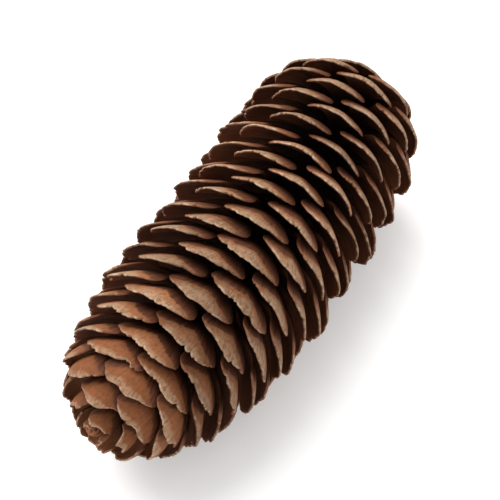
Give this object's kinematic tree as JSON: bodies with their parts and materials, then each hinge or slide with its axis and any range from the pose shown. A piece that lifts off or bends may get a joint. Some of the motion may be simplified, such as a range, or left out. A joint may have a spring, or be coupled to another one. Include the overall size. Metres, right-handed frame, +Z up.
{
  "type": "spruce cone",
  "caption": "Dry open spruce cone lying on its side, thin rounded scales spiralling up a slightly bent woody axis with a short stub of stalk",
  "frame": {"origin": "centre of the bounding box seen from above, on the surface the cone rests on", "axes": "the cone lies along Y with its apex towards -Y and its stalk towards +Y; +Z is up; the cone's ends curve towards -X"},
  "size_m": [0.0456, 0.1105, 0.0432],
  "materials": {
    "cone_scale": "dry, matt"
  },
  "bodies": {
    "root": {"spruce_cone": "cone_scale"}
  },
  "joints": []
}
